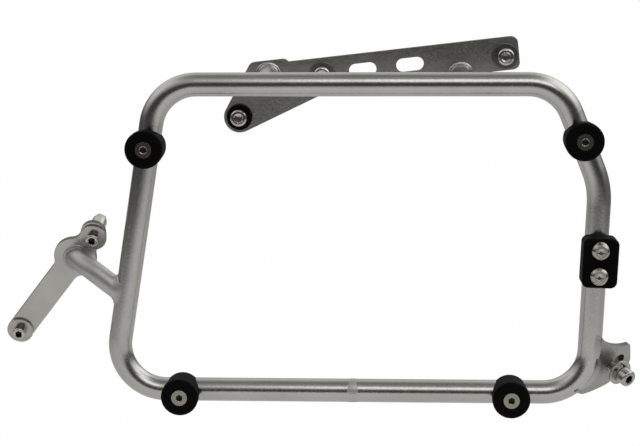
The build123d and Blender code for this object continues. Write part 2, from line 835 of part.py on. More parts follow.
brace_lock_part = ring_on(
    lock_washer_seat, lock_washer_diameter / 2, bolt_hole_radius, lock_washer_thickness
)
with BuildPart() as brace_lock_washer:
    add(brace_lock_part)
brace_lock_washer.part.label = "brace_lock_washer"
export_step(brace_lock_washer.part, "parts/brace_lock_washer.step")

# Behind the gusset an oblong plate bridges the slot under the nut
with BuildPart() as brace_nut_plate:
    with BuildSketch(gusset_plane.offset(-gusset_thickness / 2)):
        with Locations(slot_middle):
            SlotCenterToCenter(brace_slot_travel, nut_plate_width, rotation=brace_slot_bearing)
        with Locations(brace_point):
            Circle(bolt_hole_radius, mode=Mode.SUBTRACT)
    extrude(amount=-nut_plate_thickness)
brace_nut_plate.part.label = "brace_nut_plate"
export_step(brace_nut_plate.part, "parts/brace_nut_plate.step")

brace_nut_seat = back_of(seat_at(gusset_plane, brace_point, -gusset_thickness / 2 - nut_plate_thickness))
brace_nut_part = hex_nut(brace_nut_seat, bolt_thread_diameter, nut_width, nut_height)
with BuildPart() as brace_nut:
    add(brace_nut_part)
brace_nut.part.label = "brace_nut"
export_step(brace_nut.part, "parts/brace_nut.step")
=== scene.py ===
import json
from math import atan2, cos, pi, radians, sin, sqrt

import bmesh
import bpy
from mathutils import Matrix, Vector
from mathutils.geometry import intersect_point_line


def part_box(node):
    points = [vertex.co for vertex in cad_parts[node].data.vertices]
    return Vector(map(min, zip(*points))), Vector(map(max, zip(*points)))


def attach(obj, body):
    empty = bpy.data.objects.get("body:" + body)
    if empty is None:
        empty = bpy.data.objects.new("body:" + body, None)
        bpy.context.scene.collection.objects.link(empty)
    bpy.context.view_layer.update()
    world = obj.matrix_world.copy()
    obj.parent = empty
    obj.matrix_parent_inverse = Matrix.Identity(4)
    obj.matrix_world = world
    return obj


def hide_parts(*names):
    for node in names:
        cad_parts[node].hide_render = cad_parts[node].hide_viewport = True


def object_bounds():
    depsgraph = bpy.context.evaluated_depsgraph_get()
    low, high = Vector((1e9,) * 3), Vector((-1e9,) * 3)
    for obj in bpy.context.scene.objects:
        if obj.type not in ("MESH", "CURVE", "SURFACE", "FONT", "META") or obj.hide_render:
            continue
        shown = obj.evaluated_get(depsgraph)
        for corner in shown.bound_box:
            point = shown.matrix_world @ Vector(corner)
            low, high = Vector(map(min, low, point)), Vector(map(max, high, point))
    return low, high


# Looks of a left-hand pannier frame. Metres, +X to the rear, -Y outboard, +Z up.
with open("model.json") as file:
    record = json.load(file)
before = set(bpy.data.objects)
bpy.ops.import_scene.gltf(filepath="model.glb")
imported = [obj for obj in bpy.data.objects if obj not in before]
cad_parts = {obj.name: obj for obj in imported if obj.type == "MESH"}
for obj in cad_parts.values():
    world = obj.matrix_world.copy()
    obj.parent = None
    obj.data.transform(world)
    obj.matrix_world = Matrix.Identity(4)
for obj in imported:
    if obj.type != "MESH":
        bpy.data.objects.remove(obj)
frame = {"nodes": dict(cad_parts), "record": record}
cadLow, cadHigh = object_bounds()
nodes = frame["nodes"]
mounts = {row["name"]: row for row in frame["record"]["mounts"]}
nodeSlots = {row["node"]: row["material_slot"] for row in frame["record"]["subparts"]}
scene = bpy.context.scene
mm = 0.001
tiny = mm / 100
mergeGap = mm / 1000  # points nearer than this are one
inward = Vector((0, 1, 0))
rearward = Vector((1, 0, 0))
print("frame loaded:", len(nodes), "nodes")


def linear(hexColour):
    channels = [int(hexColour[i:i + 2], 16) / 255 for i in (1, 3, 5)]
    lit = [c / 12.92 if c < 0.04045 else ((c + 0.055) / 1.055) ** 2.4 for c in channels]
    return (*lit, 1.0)


# One node with its settings; an input that is given a socket is linked, any other value is set
def addNode(tree, kind, inputs=None, **settings):
    node = tree.nodes.new(kind)
    for key, value in settings.items():
        setattr(node, key, value)
    for key, value in (inputs or {}).items():
        if isinstance(value, bpy.types.NodeSocket):
            tree.links.new(value, node.inputs[key])
        else:
            node.inputs[key].default_value = value
    return node


noiseSpan = (0.3, 0.7)  # a noise texture seldom leaves it


# What all finishes share: two colours mixed by one pattern, roughness and bump by a grain
def addFinish(material, look, tintBy, grain, grainSize):
    tree = material.node_tree
    shader = tree.nodes["Principled BSDF"]
    tint = addNode(tree, "ShaderNodeMix", {
        0: tintBy, 6: linear(look["dark"]), 7: linear(look["light"]),
    }, data_type="RGBA")
    rough = addNode(tree, "ShaderNodeMapRange", {
        0: grain, 1: noiseSpan[0], 2: noiseSpan[1], 3: look["roughness"][0], 4: look["roughness"][1],
    })
    bump = addNode(tree, "ShaderNodeBump", {
        "Strength": look["bump"], "Distance": grainSize, "Height": grain,
    })
    tree.links.new(tint.outputs[2], shader.inputs["Base Color"])
    tree.links.new(rough.outputs[0], shader.inputs["Roughness"])
    tree.links.new(bump.outputs["Normal"], shader.inputs["Normal"])


# Steel in the finishes of this frame: soft clouds in its colour, a speckle in roughness and bump.
# Real pits are near 0.2 mm, and each speckle is drawn coarser so that it shows
def makeSteel(name, look):
    material = bpy.data.materials.new(name)
    material.use_nodes = True
    tree = material.node_tree
    tree.nodes["Principled BSDF"].inputs["Metallic"].default_value = 1.0
    place = addNode(tree, "ShaderNodeTexCoord").outputs["Object"]
    clouds = addNode(tree, "ShaderNodeTexNoise", {
        "Vector": place, "Scale": 1 / look["cloudSize"], "Detail": 3.0,
    })
    speckle = addNode(tree, "ShaderNodeTexNoise", {
        "Vector": place, "Scale": 1 / look["speckleSize"], "Detail": 2.0,
    })
    cloudy = addNode(tree, "ShaderNodeMapRange", {
        0: clouds.outputs["Fac"], 1: noiseSpan[0], 2: noiseSpan[1],
    })
    addFinish(material, look, cloudy.outputs[0], speckle.outputs["Fac"], look["speckleSize"])
    return material


# Drawn stainless tube, pickled to a satin: crisp light and dark bands with a faint speckle in them
satinTube = makeSteel("satinStainlessTube", {
    "light": "#bab9b4", "dark": "#adaca7", "roughness": (0.18, 0.26), "bump": 0.026,
    "cloudSize": 45 * mm, "speckleSize": 1.8 * mm,
})
# The arm's tube and the dressed welds, blasted: an even grey with hardly any band
blastedTube = makeSteel("blastedStainlessTube", {
    "light": "#c1c0bc", "dark": "#b5b4b0", "roughness": (0.44, 0.52), "bump": 0.02,
    "cloudSize": 20 * mm, "speckleSize": 1.8 * mm,
})
# Laser-cut stainless sheet, blasted matt: dark where it faces the dim side of the room
blastedPlate = makeSteel("blastedStainlessPlate", {
    "light": "#a9a8a2", "dark": "#9c9b95", "roughness": (0.3, 0.46), "bump": 0.08,
    "cloudSize": 30 * mm, "speckleSize": 1.8 * mm,
})
# Cold-rolled stainless sheet with its mill finish: even, pale grey and a little smoother
milledPlate = makeSteel("milledStainlessPlate", {
    "light": "#bab9b3", "dark": "#aeada7", "roughness": (0.28, 0.34), "bump": 0.006,
    "cloudSize": 25 * mm, "speckleSize": 1.8 * mm,
})
# Brushed-off weld bead: bright on its ripples, faintly straw coloured between them
weldBead = makeSteel("stainlessWeldBead", {
    "light": "#bcbbb6", "dark": "#acaaa4", "roughness": (0.24, 0.36), "bump": 0.06,
    "cloudSize": 4 * mm, "speckleSize": 1.2 * mm,
})
# Rolled stainless screws: brighter and smoother than the tube
boltSteel = makeSteel("rolledStainlessBolt", {
    "light": "#c4c1ba", "dark": "#b5b2ab", "roughness": (0.08, 0.13), "bump": 0.006,
    "cloudSize": 8 * mm, "speckleSize": 1.0 * mm,
})
# Button heads, a little greyer than the other screws: they keep a sharp highlight
domeSteel = makeSteel("headedStainlessDome", {
    "light": "#aeaba3", "dark": "#a09d95", "roughness": (0.08, 0.13), "bump": 0.006,
    "cloudSize": 8 * mm, "speckleSize": 1.0 * mm,
})
# Painted shade inside the forged hexagon sockets: nearly black, with a dull glint
socketSteel = makeSteel("paintedSocketShade", {
    "light": "#3b3935", "dark": "#2a2825", "roughness": (0.3, 0.42), "bump": 0.02,
    "cloudSize": 2 * mm, "speckleSize": 1.0 * mm,
})
# Tumbled stainless of the brace's bolt and the plain washers: soft highlights on a mid grey
satinBolt = makeSteel("tumbledStainlessBolt", {
    "light": "#b3b1ab", "dark": "#a5a39d", "roughness": (0.2, 0.28), "bump": 0.01,
    "cloudSize": 6 * mm, "speckleSize": 1.0 * mm,
})
# Turned faces of the countersunk heads: a dull warm grey
sunkSteel = makeSteel("turnedStainlessFace", {
    "light": "#959084", "dark": "#87837a", "roughness": (0.14, 0.2), "bump": 0.006,
    "cloudSize": 4 * mm, "speckleSize": 1.0 * mm,
})
# Painted shade on the laser-cut edges: dark and dull, so that a thin line goes round each sheet
cutEdge = makeSteel("paintedEdgeShade", {
    "light": "#6f6d68", "dark": "#5c5a56", "roughness": (0.36, 0.46), "bump": 0.03,
    "cloudSize": 6 * mm, "speckleSize": 1.0 * mm,
})
# The upper plate's washers, darker than the sheet, and the painted shade inside the brace bolt's socket
dullWasher = makeSteel("darkWasherAndSocketShade", {
    "light": "#84827c", "dark": "#74726d", "roughness": (0.3, 0.4), "bump": 0.01,
    "cloudSize": 6 * mm, "speckleSize": 1.2 * mm,
})


# Moulded black parts; their grain is near 0.1 mm and is drawn coarser so that it shows
def makeBlack(name, look):
    material = bpy.data.materials.new(name)
    material.use_nodes = True
    tree = material.node_tree
    tree.nodes["Principled BSDF"].inputs["Specular IOR Level"].default_value = look["specular"]
    place = addNode(tree, "ShaderNodeTexCoord").outputs["Object"]
    grain = addNode(tree, "ShaderNodeTexNoise", {
        "Vector": place, "Scale": 1 / look["grainSize"], "Detail": 2.0,
    }).outputs["Fac"]
    addFinish(material, look, grain, grain, look["grainSize"])
    return material


# Injection-moulded polyamide of the pucks and the lock block: near black, its highlight soft
blackPlastic = makeBlack("mouldedBlackPolyamide", {
    "light": "#060606", "dark": "#030303", "roughness": (0.55, 0.65), "specular": 0.06, "bump": 0.02,
    "grainSize": 0.9 * mm,
})
# Pressed nitrile rubber of the damper: black with a slight bloom
blackRubber = makeBlack("blackNitrileRubber", {
    "light": "#090908", "dark": "#050505", "roughness": (0.55, 0.65), "specular": 0.1, "bump": 0.04,
    "grainSize": 0.9 * mm,
})
slotMaterials = {
    "stainless_tube": satinTube,
    "stainless_plate": blastedPlate,
    "footrest_steel": milledPlate,
    "weld_metal": weldBead,
    "bolt_steel": boltSteel,
    "black_plastic": blackPlastic,
    "black_rubber": blackRubber,
}
for name, obj in nodes.items():
    for place in obj.material_slots:
        place.material = blastedTube if name == "footrest_arm" else slotMaterials[nodeSlots[name]]
print("materials given to", len(nodes), "nodes")

creases = {"threaded": 20, "turned": 12, "wound": 30, "sheet": 20, "bead": 60}  # degrees


# A finished mesh that stands for a node: faces outward, smooth up to the crease angle
def addPiece(node, bm, crease, finish=None, second=None):
    bmesh.ops.recalc_face_normals(bm, faces=bm.faces)
    mesh = bpy.data.meshes.new(node + ".fine")
    bm.to_mesh(mesh)
    bm.free()
    mesh.shade_smooth()
    mesh.set_sharp_from_angle(angle=radians(creases[crease]))
    piece = bpy.data.objects.new(node + ".fine", mesh)
    scene.collection.objects.link(piece)
    mesh.materials.append(finish or slotMaterials[nodeSlots[node]])
    if second:
        mesh.materials.append(second)
    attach(piece, "root")
    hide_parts(node)


# Stands a body that is drawn along +Z on its seat, with its X as near upward as it can be
def stand(seat, axis):
    side = (Vector((0, 0, 1)) - axis * axis.z).normalized()
    turned = Matrix((side, axis.cross(side), axis)).transposed()
    return Matrix.Translation(seat) @ turned.to_4x4()


# The same body once at each place, in one mesh
def repeat(single, places):
    mesh = bpy.data.meshes.new("single")
    single.to_mesh(mesh)
    single.free()
    group = bmesh.new()
    for place in places:
        known = set(group.verts)
        group.from_mesh(mesh)
        bmesh.ops.transform(group, matrix=place, verts=[v for v in group.verts if v not in known])
    bpy.data.meshes.remove(mesh)
    return group


# Line through (radius, height) points, ready to spin round Z
def drawLine(bm, line):
    points = [bm.verts.new((radius, 0, height)) for radius, height in line]
    return points + [bm.edges.new(pair) for pair in zip(points, points[1:])]


# Turned body: the line spun once round
def turn(bm, line, steps):
    bmesh.ops.spin(bm, geom=drawLine(bm, line), axis=(0, 0, 1), cent=(0, 0, 0), angle=2 * pi,
                   steps=steps, use_merge=True)
    bmesh.ops.remove_doubles(bm, verts=bm.verts, dist=mergeGap)


# Shares of the pitch: how deep the thread is, how far each part of its flank reaches, and the tip's point
threadForm = {"depth": 0.54, "rootFlat": 0.2, "flank": 0.55, "crest": 0.65, "point": 0.5}


# Rolled thread from the tip up to the root: the flanks screwed up by one pitch, then cut flat
def thread(plan, tip, root):
    bm = bmesh.new()
    pitch, crest = plan["pitch"], plan["shank"]
    valley = crest - threadForm["depth"] * pitch
    line = []
    height = tip - pitch
    while height < root + pitch:
        line += [
            (valley, height), (valley, height + threadForm["rootFlat"] * pitch),
            (crest, height + threadForm["flank"] * pitch), (crest, height + threadForm["crest"] * pitch),
        ]
        height += pitch
    bmesh.ops.spin(bm, geom=drawLine(bm, line), axis=(0, 0, 1), cent=(0, 0, 0), angle=2 * pi,
                   dvec=(0, 0, pitch / plan["steps"]), steps=plan["steps"], use_merge=False)
    bmesh.ops.remove_doubles(bm, verts=bm.verts, dist=mergeGap)
    for level, side in ((tip, -1), (root, 1)):
        whole = bm.verts[:] + bm.edges[:] + bm.faces[:]
        bmesh.ops.bisect_plane(bm, geom=whole, dist=mergeGap / 10, plane_co=(0, 0, level),
                               plane_no=(0, 0, side), clear_outer=True)
    bmesh.ops.holes_fill(bm, edges=[e for e in bm.edges if e.is_boundary])
    # the tip is pointed at 45 degrees
    for vert in bm.verts:
        reach = vert.co.xy.length
        allowed = valley - threadForm["point"] * pitch + vert.co.z - tip
        if reach > allowed:
            vert.co.xy *= allowed / reach
    return bm


# Draws a turned socket's wall in to a hexagon; its faces take the second finish
def cutHexagon(bm, corner, base):
    wall = {v for v in bm.verts if v.co.z > base and v.co.xy.length < corner + tiny}
    for face in bm.faces:
        if wall.issuperset(face.verts):
            face.material_index = 1
    for vert in wall:
        if vert.co.xy.length > tiny:
            swing = atan2(vert.co.y, vert.co.x) % (pi / 3) - pi / 6
            vert.co.xy *= cos(pi / 6) / cos(swing)


# Line of a hexagon socket from its bevelled mouth to its drilled bottom
def socketLine(plan, top):
    corner, floor = plan["socket"] / sqrt(3), top - plan["depth"]
    return [
        (corner + plan["mouth"], top), (corner, top - plan["mouth"]), (corner, floor),
        (0, floor - corner / 4),
    ]


# Socket cap screw along +Z, seated at z = 0: thread, plain shank and turned head
def capScrew(plan):
    bm = thread(plan, -plan["length"], -plan["grip"])
    top, soft, under = plan["height"], plan["soft"], plan["mouth"]
    turns = [pi / 2 * i / plan["curve"] for i in range(plan["curve"] + 1)]
    overlap = plan["pitch"]
    head = bmesh.new()
    turn(head, [
        (0, -plan["grip"] - overlap), (plan["shank"] - plan["pitch"] / 2, -plan["grip"] - overlap),
        (plan["shank"], -plan["grip"]), (plan["shank"], 0), (plan["head"] - under, 0), (plan["head"], under),
        *[(plan["head"] - soft + soft * cos(a), top - soft + soft * sin(a)) for a in turns],
        *socketLine(plan, top),
    ], plan["steps"])
    cutHexagon(head, plan["socket"] / sqrt(3), 0)
    mesh = bpy.data.meshes.new("head")
    head.to_mesh(mesh)
    head.free()
    bm.from_mesh(mesh)
    bpy.data.meshes.remove(mesh)
    return bm


m8Screw = {
    "shank": 4.0 * mm, "pitch": 1.25 * mm, "head": 6.5 * mm, "height": 8.0 * mm, "soft": 1.72 * mm,
    "socket": 6.0 * mm, "depth": 5.0 * mm, "mouth": 0.45 * mm, "curve": 6, "steps": 48,
}
m6Screw = {
    "shank": 3.0 * mm, "pitch": 1.0 * mm, "head": 5.0 * mm, "height": 6.0 * mm, "soft": 1.2 * mm,
    "socket": 5.0 * mm, "depth": 4.0 * mm, "mouth": 0.35 * mm, "curve": 6, "steps": 48,
}
bracketStack = {"length": 30 * mm, "grip": 6 * mm}  # washer and plate under the head
bracketSeats = [
    Vector(mounts[name]["pos_m"]) - inward * bracketStack["grip"]
    for name in ("bracket_front_bolt", "bracket_mid_bolt", "bracket_rear_bolt")
]
addPiece("bracket_bolts", repeat(
    capScrew({**m8Screw, **bracketStack}), [stand(seat, -inward) for seat in bracketSeats],
), "threaded", second=boltSteel)
footrestStack = {"length": 35 * mm, "grip": 7 * mm, "tip": 1 * mm}
footrestMounts = [mounts["footrest_lower_bolt"], mounts["footrest_upper_bolt"]]
footrestIn = Vector(footrestMounts[0]["axis"])
footrestSeats = [
    Vector(row["pos_m"]) - footrestIn * (footrestStack["length"] - footrestStack["tip"])
    for row in footrestMounts
]
# the footrest bolts' sockets take painted shade
addPiece("footrest_bolts", repeat(
    capScrew({**m6Screw, **footrestStack}), [stand(seat, -footrestIn) for seat in footrestSeats],
), "threaded", second=socketSteel)
braceStack = {"washer": 2 * mm, "lockWasher": 2.2 * mm, "length": 30 * mm, "grip": 4.2 * mm}
braceOut = Vector(mounts["brace_eye"]["axis"])
braceSeat = Vector(mounts["brace_eye"]["pos_m"])
braceHead = braceSeat + braceOut * (braceStack["washer"] + braceStack["lockWasher"])
# the brace bolt's socket takes painted shade
addPiece("brace_bolt", repeat(
    capScrew({**m8Screw, **braceStack}), [stand(braceHead, braceOut)],
), "threaded", finish=satinBolt, second=dullWasher)

# Countersunk screws with their heads flush in the pucks, painted shade in their sockets
sunkScrew = {
    "head": 6.12 * mm, "shank": 3 * mm, "length": 30 * mm, "rim": 0.1 * mm, "socket": 4.6 * mm,
    "depth": 2.8 * mm, "mouth": 0.3 * mm, "steps": 48,
}
bm = bmesh.new()
turn(bm, [
    (0, -sunkScrew["length"]), (sunkScrew["shank"], -sunkScrew["length"]),
    (sunkScrew["shank"], sunkScrew["shank"] - sunkScrew["head"] - sunkScrew["rim"]),
    (sunkScrew["head"], -sunkScrew["rim"]), (sunkScrew["head"] - sunkScrew["rim"], 0),
    *socketLine(sunkScrew, 0),
], sunkScrew["steps"])
cutHexagon(bm, sunkScrew["socket"] / sqrt(3), -sunkScrew["length"] / 2)
puckMounts = [row for name, row in mounts.items() if name.startswith("puck_")]
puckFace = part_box("puck_front_lower")[0].y
addPiece("puck_screws", repeat(bm, [
    stand(Vector((row["pos_m"][0], puckFace, row["pos_m"][2])), -inward) for row in puckMounts
]), "turned", finish=sunkSteel, second=socketSteel)

# The hoop's corner points and its tube, as in the part's source
hoop = {
    "plane": -56 * mm, "radius": 9 * mm, "bend": 35 * mm, "top": 30.5 * mm, "bottom": -206.5 * mm,
    "topFront": Vector((-56.5, -56, 30.5)) * mm, "bottomFront": Vector((-96.5, -56, -206.5)) * mm,
    "kink": Vector((275, -56, -46)) * mm, "bottomRear": Vector((270, -56, -206.5)) * mm,
}
rearUp = (hoop["kink"] - hoop["bottomRear"]).normalized()

# Button-head screws on the lock block: a dome turned to a small flat crown round the socket
buttonScrew = {
    "head": 7.35 * mm, "height": 4.4 * mm, "rim": 0.35 * mm, "domeX": 1.6 * mm, "domeZ": -0.64 * mm,
    "dome": 5.81 * mm, "low": radians(8), "high": radians(60), "curve": 8, "shank": 4 * mm,
    "length": 22 * mm, "socket": 4.5 * mm, "depth": 2.8 * mm, "mouth": 0.4 * mm, "steps": 48,
    "spacing": 18.8 * mm,
}
domeTurns = [
    buttonScrew["low"] + (buttonScrew["high"] - buttonScrew["low"]) * i / buttonScrew["curve"]
    for i in range(buttonScrew["curve"] + 1)
]
bm = bmesh.new()
turn(bm, [
    (0, -buttonScrew["length"]), (buttonScrew["shank"], -buttonScrew["length"]), (buttonScrew["shank"], 0),
    (buttonScrew["head"] - buttonScrew["rim"], 0),
    *[(buttonScrew["domeX"] + buttonScrew["dome"] * cos(a),
       buttonScrew["domeZ"] + buttonScrew["dome"] * sin(a)) for a in domeTurns],
    *socketLine(buttonScrew, buttonScrew["height"]),
], buttonScrew["steps"])
cutHexagon(bm, buttonScrew["socket"] / sqrt(3), 0)
lockFace = Vector(mounts["lock_block_catch"]["pos_m"])
addPiece("lock_screws", repeat(bm, [
    stand(lockFace + rearUp * buttonScrew["spacing"] / 2 * side, -inward) for side in (1, -1)
]), "turned", finish=domeSteel, second=boltSteel)
print("screws threaded")


# Closed ring of edges through these vertices
def ringOf(bm, verts):
    return [bm.edges.new(pair) for pair in zip(verts, verts[1:] + verts[:1])]


# Spring washer: a square bar wound once, with its slanted split upward
springWasher = {
    "inner": 4.3 * mm, "outer": 7.0 * mm, "split": radians(14), "slant": radians(12), "steps": 60,
}
bm = bmesh.new()
corners = [
    bm.verts.new((radius, 0, height)) for radius, height in (
        (springWasher["inner"], 0), (springWasher["outer"], 0),
        (springWasher["outer"], braceStack["lockWasher"]), (springWasher["inner"], braceStack["lockWasher"]),
    )
]
bmesh.ops.spin(bm, geom=corners + ringOf(bm, corners), axis=(0, 0, 1), cent=(0, 0, 0),
               angle=2 * pi - springWasher["split"], steps=springWasher["steps"], use_merge=False)
bmesh.ops.holes_fill(bm, edges=[e for e in bm.edges if e.is_boundary])
for vert in bm.verts:
    vert.co.rotate(Matrix.Rotation(springWasher["slant"] * vert.co.z / braceStack["lockWasher"], 3, "Z"))
bmesh.ops.transform(bm, matrix=stand(braceSeat + braceOut * braceStack["washer"], braceOut), verts=bm.verts)
addPiece("brace_lock_washer", bm, "wound", finish=satinBolt)

easing = {
    "sheet": 0.4 * mm, "washer": 0.3 * mm, "segments": 2, "flat": radians(0.5), "sharp": radians(40),
    "cutBelow": 0.7, "weldedAbove": 0.5,  # cosines to the sheet's face and towards its joint
}


# Cut sheet or washer with its sharp edges eased; a sheet's cut edges may take a finish of their own, such as
# painted shade, but not where they are welded and face the joint
def easeEdges(node, soft, finish=None, edge=None, joint=Vector()):
    bm = bmesh.new()
    bm.from_mesh(nodes[node].data)
    bmesh.ops.remove_doubles(bm, verts=bm.verts, dist=2 * mergeGap)
    bmesh.ops.dissolve_limit(bm, angle_limit=easing["flat"], verts=bm.verts, edges=bm.edges)
    sharp = [e for e in bm.edges if len(e.link_faces) == 2 and e.calc_face_angle() > easing["sharp"]]
    bmesh.ops.bevel(bm, geom=sharp, offset=soft, offset_type="OFFSET", segments=easing["segments"],
                    profile=0.5, affect="EDGES", clamp_overlap=True, material=-1)
    bm.normal_update()
    sheetOut = max(bm.faces, key=lambda face: face.calc_area()).normal.copy()
    for face in bm.faces:
        cut = abs(face.normal.dot(sheetOut)) < easing["cutBelow"]
        if edge and cut and face.normal.dot(joint) < easing["weldedAbove"]:
            face.material_index = 1
    addPiece(node, bm, "sheet", finish=finish, second=edge)


gussetUp = braceOut.cross(inward).normalized()
gussetAway = gussetUp.cross(braceOut)
# the sheets' cut edges take painted shade
for node in ("bracket_plate", "footrest_plate"):
    easeEdges(node, easing["sheet"], edge=cutEdge)
easeEdges("brace_gusset", easing["sheet"], edge=cutEdge, joint=-gussetAway)
easeEdges("bracket_washers", easing["washer"], dullWasher)
for node in ("footrest_washers", "brace_washer"):
    easeEdges(node, easing["washer"], satinBolt)
for node in ("brace_nut_plate", "footrest_nuts", "brace_nut"):
    easeEdges(node, easing["washer"])
print("sheet edges eased")

# Weld beads along the joints of the tubes
beadPlan = {
    "leg": 2.2 * mm, "ripple": 1.7 * mm, "perRipple": 4, "depth": 0.04, "sunk": 0.5 * mm,
    "under": 0.05 * mm, "crown": 0.36, "shoulder": 0.6, "ease": 1.25, "search": 40 * mm, "halvings": 40,
}


# How far the bead is drawn in at this step of its ripples, from 0 to 1
def rippleDip(i):
    return 1 - abs(sin(pi * i / beadPlan["perRipple"]))


# Steps that carry whole ripples round a tube
def stepsRound(radius):
    return round(2 * pi * radius / beadPlan["ripple"]) * beadPlan["perRipple"]


# Skin over a row of rings; an open row is capped at its ends
def bridgeRings(bm, rings, closed):
    for one, other in zip(rings, rings[1:] + rings[:1] if closed else rings[1:]):
        bmesh.ops.bridge_loops(bm, edges=one + other)
    if not closed:
        bmesh.ops.holes_fill(bm, edges=rings[0] + rings[-1])


# Slope of a measure of distance at a point: the direction square to the surface it is taken from
def slopeOf(reach, point):
    steps = [axis * tiny for axis in Matrix.Identity(3)]
    return Vector([reach(point + step) - reach(point - step) for step in steps]).normalized()


# Where the skin that reach() measures from lies, between a point inside it and one outside
def skinBetween(inside, outside, reach):
    for _ in range(beadPlan["halvings"]):
        middle = (inside + outside) / 2
        if reach(middle) < 0:
            inside = middle
        else:
            outside = middle
    return inside


# Weld metal along a joint: a crowned fillet between two skins, swollen in the even ripples that a torch
# leaves. Each row has its place in the joint and the two outward directions of the skins; the second
# skin may be curved, and reach() measures from it
def addBead(bm, rows, closed, legs, reach):
    rings = []
    for i, ((point, one, other), leg) in enumerate(zip(rows, legs)):
        swell = leg * (1 - beadPlan["depth"] * rippleDip(i))
        up = (other - one * other.dot(one)).normalized() * swell
        out = (one - other * one.dot(other)).normalized() * swell
        out -= other * (reach(point + out) + beadPlan["under"])
        crown = (up + out) * beadPlan["crown"]
        upper, lower = [(toe * beadPlan["shoulder"] + crown) / beadPlan["ease"] for toe in (up, out)]
        sunk = -(one + other).normalized() * beadPlan["sunk"]
        ring = [bm.verts.new(point + offset) for offset in (up, upper, crown, lower, out, sunk)]
        rings.append(ringOf(bm, ring))
    bridgeRings(bm, rings, closed)


# Joint where a tube of this radius, from start along its direction, meets what reach() measures
def jointRows(start, direction, radius, reach):
    side = direction.orthogonal().normalized()
    across = direction.cross(side)
    steps = stepsRound(radius)
    rows = []
    for i in range(steps):
        angle = 2 * pi * i / steps
        outward = side * cos(angle) + across * sin(angle)
        inside = start + outward * radius
        point = skinBetween(inside, inside + direction * beadPlan["search"], reach)
        rows.append((point, outward, slopeOf(reach, point)))
    return rows


# How far a point stands out of a straight tube's skin
def outOfTube(point, one, other):
    foot, _ = intersect_point_line(point, one, other)
    return (point - foot).length - hoop["radius"]


stubs = {"stations": (22.9 * mm, 173.0 * mm), "radius": 8 * mm, "rise": 2.6 * mm, "plateFace": -4 * mm}
bm = bmesh.new()
for x in stubs["stations"]:
    start = Vector((x, hoop["plane"], hoop["top"]))
    run = Vector((0, -hoop["plane"], stubs["rise"])).normalized()
    end = start + run * -hoop["plane"]
    for place, way, reach in (
        (start, run, lambda p: outOfTube(p, start, start + rearward)),
        (end, -run, lambda p: stubs["plateFace"] - p.y),
    ):
        rows = jointRows(place, way, stubs["radius"], reach)
        addBead(bm, rows, True, [beadPlan["leg"]] * len(rows), reach)
addPiece("stub_welds", bm, "bead")

arm = {
    "joint": Vector((-84.026, -56, -132.594)) * mm, "elbow": Vector((-122.426, -48, -105.594)) * mm,
    "landing": Vector((-128.426, -26, -109.194)) * mm, "past": 12 * mm, "radius": 8 * mm, "leg": 3 * mm,
}
landingRun = (arm["elbow"] - arm["landing"]).normalized()
bm = bmesh.new()
for place, way, reach in (
    (arm["joint"], (arm["elbow"] - arm["joint"]).normalized(),
     lambda p: outOfTube(p, hoop["topFront"], hoop["bottomFront"])),
    (arm["landing"] - landingRun * arm["past"], landingRun, lambda p: (arm["landing"] - p).dot(footrestIn)),
):
    rows = jointRows(place, way, arm["radius"], reach)
    addBead(bm, rows, True, [arm["leg"]] * len(rows), reach)
addPiece("arm_welds", bm, "bead", finish=blastedTube)

# Butt weld of the hoop's two ends, dressed nearly flat by hand and a little uneven
butt = {
    "x": 90 * mm, "half": 3.6 * mm, "proud": 0.22 * mm, "shoulderAt": 0.5, "shoulder": 0.75, "depth": 0.3,
    "uneven": 0.18, "waves": 5,
}
buttSteps = stepsRound(hoop["radius"])
buttRings = []
bm = bmesh.new()
for i in range(buttSteps):
    angle = 2 * pi * i / buttSteps
    outward = Vector((0, cos(angle), sin(angle)))
    proud = butt["proud"] * (1 - butt["depth"] * rippleDip(i))
    half = butt["half"] * (1 + butt["uneven"] * sin(butt["waves"] * angle))
    line = (
        (-1, 0), (-butt["shoulderAt"], proud * butt["shoulder"]), (0, proud),
        (butt["shoulderAt"], proud * butt["shoulder"]), (1, 0), (0, -butt["proud"]),
    )
    buttRings.append(ringOf(bm, [
        bm.verts.new(Vector((butt["x"] + along * half, hoop["plane"], hoop["bottom"]))
                     + outward * (hoop["radius"] + rise))
        for along, rise in line
    ]))
bridgeRings(bm, buttRings, True)
addPiece("hoop_butt_weld", bm, "bead", finish=blastedTube)

# The gusset's two beads follow the rear lower bend as far as each face of the sheet meets the tube.
# A third closes the corner above them, between the sheet's root and the tube behind it
gusset = {
    "boltX": 11.1 * mm, "boltY": 11.3 * mm, "standOff": 10.5 * mm, "half": 2 * mm, "slant": radians(38),
    "rootRise": 12 * mm, "neckX": -15.6 * mm, "neckY": 29.8 * mm, "search": 20 * mm, "steps": 60,
    "front": (-14 * mm, 14 * mm), "back": (-17 * mm, 25 * mm), "leg": 4 * mm,
    "root": (13 * mm, 29.5 * mm), "rootLeg": 3.2 * mm, "rootTaper": (0.05, 0.85),
}
gussetOrigin = (
    braceSeat - braceOut * gusset["standOff"] - gussetAway * gusset["boltX"] - gussetUp * gusset["boltY"]
)
bendMiddle = (rearUp - rearward).normalized()
bendCentre = hoop["bottomRear"] + bendMiddle * hoop["bend"] / sin(bendMiddle.angle(rearUp))
upperTangent = bendCentre + rearUp.cross(-inward) * hoop["bend"]


# How far a point stands out of the rear lower bend and the upright above it
def outOfBend(point):
    if (point - upperTangent).dot(rearUp) > 0:
        return outOfTube(point, hoop["kink"], hoop["bottomRear"])
    flat = Vector((point.x - bendCentre.x, 0, point.z - bendCentre.z))
    return (point - bendCentre - flat.normalized() * hoop["bend"]).length - hoop["radius"]


# The sheet's edge in the tube at a level: along the bend at first, then straight up to its neck
def rootOf(level):
    outer = hoop["bend"] + hoop["radius"]
    low = min(level, gusset["rootRise"])
    x = (sqrt(outer ** 2 - low ** 2) - outer) / cos(gusset["slant"]) - hoop["radius"] * cos(gusset["slant"])
    share = max(0, level - gusset["rootRise"]) / (gusset["neckY"] - gusset["rootRise"])
    return x + (gusset["neckX"] - x) * share


